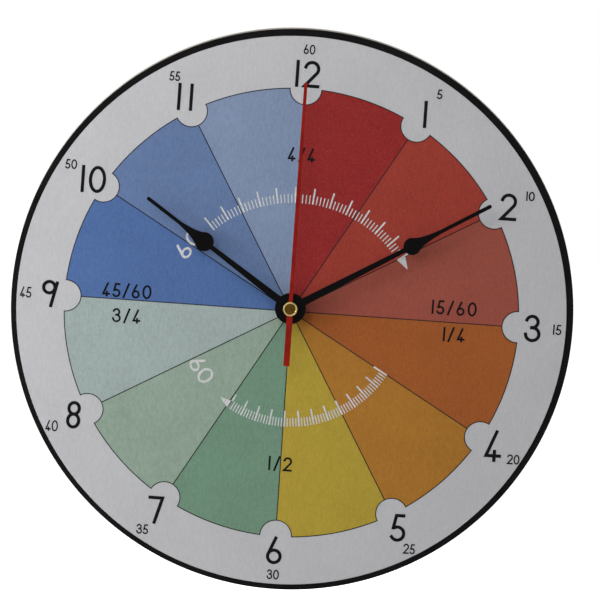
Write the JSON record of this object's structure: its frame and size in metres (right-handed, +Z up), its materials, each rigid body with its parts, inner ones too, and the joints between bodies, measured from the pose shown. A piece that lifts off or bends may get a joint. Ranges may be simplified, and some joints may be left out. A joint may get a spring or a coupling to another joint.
{
  "type": "teaching clock",
  "caption": "Round wall clock for teaching the time: printed dial with a twelve-colour notched pie, spade hands, red second hand and a battery movement behind.",
  "frame": {"origin": "on the hands' axis, in the plane of the movement's back, which touches the wall", "axes": "+Z up through 12, +X to the reader's right, the dial faces -Y and the wall is on the +Y side"},
  "size_m": [0.3, 0.0415, 0.3],
  "materials": {
    "board_paint": "matt black paint on fibreboard, edge left pale",
    "dial_paper": "printed matt paper",
    "hand_black": "black satin lacquer",
    "hand_red": "red satin lacquer",
    "brass": "turned, polished",
    "steel": "bright zinc-plated",
    "soft_iron": "rolled, bare",
    "copper_wire": "enamelled winding",
    "magnet": "sintered, dull",
    "seal_rubber": "matt",
    "case_plastic": "fine spark-eroded texture",
    "pale_plastic": "moulded, satin",
    "circuit_board": "green solder mask",
    "chip_resin": "cast resin",
    "cell_wrap": "plastic sleeve with bare metal ends"
  },
  "bodies": {
    "clock_body": {"dial_board": "board_paint", "dial_print": "dial_paper", "rubber_washer": "seal_rubber", "dial_washer": "brass", "dial_nut": "brass", "threaded_bush": "brass", "hanger": "steel", "movement_case": "case_plastic", "movement_back": "case_plastic", "battery_contact_negative": "steel", "battery_contact_positive": "steel", "circuit_board": "circuit_board", "driver_chip": "chip_resin", "quartz_crystal": "steel", "coil_bobbin": "pale_plastic", "coil_winding": "copper_wire", "coil_core": "soft_iron", "stator": "soft_iron", "gear_bridge": "pale_plastic"},
    "seconds": {"second_wheel": "pale_plastic", "second_arbor": "steel", "second_hand": "hand_red", "second_hand_bush": "brass"},
    "third": {"third_wheel": "pale_plastic"},
    "centre": {"centre_wheel": "brass"},
    "intermediate": {"intermediate_wheel": "pale_plastic"},
    "rotor": {"rotor_pinion": "pale_plastic", "rotor_magnet": "magnet"},
    "minutes": {"minute_pipe": "brass", "clutch_spring": "steel", "minute_hand": "hand_black"},
    "motion": {"motion_wheel": "pale_plastic"},
    "hours": {"hour_wheel": "pale_plastic", "hour_hand": "hand_black"},
    "knob": {"set_knob": "case_plastic"},
    "battery_cell": {"battery": "cell_wrap"}
  },
  "joints": [
    {"name": "second_spin", "type": "hinge", "parent": "clock_body", "child": "seconds", "pos_m": [0, 0, 0], "axis": [0, 1, 0], "continuous": true},
    {"name": "third_spin", "type": "hinge", "parent": "clock_body", "child": "third", "pos_m": [0.00248, 0, 0.00927], "axis": [0, 1, 0], "continuous": true},
    {"name": "centre_spin", "type": "hinge", "parent": "clock_body", "child": "centre", "pos_m": [0, 0, 0], "axis": [0, 1, 0], "continuous": true},
    {"name": "intermediate_spin", "type": "hinge", "parent": "clock_body", "child": "intermediate", "pos_m": [-0.00883, 0, 0.00321], "axis": [0, 1, 0], "continuous": true},
    {"name": "rotor_spin", "type": "hinge", "parent": "clock_body", "child": "rotor", "pos_m": [-0.01447, 0, 0.00527], "axis": [0, 1, 0], "continuous": true},
    {"name": "minute_spin", "type": "hinge", "parent": "clock_body", "child": "minutes", "pos_m": [0, 0, 0], "axis": [0, 1, 0], "continuous": true},
    {"name": "motion_spin", "type": "hinge", "parent": "clock_body", "child": "motion", "pos_m": [0.00886, 0, 0.00156], "axis": [0, 1, 0], "continuous": true},
    {"name": "hour_spin", "type": "hinge", "parent": "clock_body", "child": "hours", "pos_m": [0, 0, 0], "axis": [0, 1, 0], "continuous": true},
    {"name": "knob_spin", "type": "hinge", "parent": "clock_body", "child": "knob", "pos_m": [0.01732, 0, 0.00464], "axis": [0, 1, 0], "continuous": true},
    {"name": "battery_lift", "type": "slide", "parent": "clock_body", "child": "battery_cell", "axis": [0, 1, 0], "range_m": [0, 0.018]}
  ],
  "couplings": [
    {"joint": "third_spin", "follows": "second_spin", "ratio": -0.13333},
    {"joint": "centre_spin", "follows": "second_spin", "ratio": 0.016667},
    {"joint": "intermediate_spin", "follows": "second_spin", "ratio": -6},
    {"joint": "rotor_spin", "follows": "second_spin", "ratio": 30},
    {"joint": "motion_spin", "follows": "minute_spin", "ratio": -0.33333},
    {"joint": "hour_spin", "follows": "minute_spin", "ratio": 0.083333},
    {"joint": "knob_spin", "follows": "minute_spin", "ratio": 1}
  ]
}
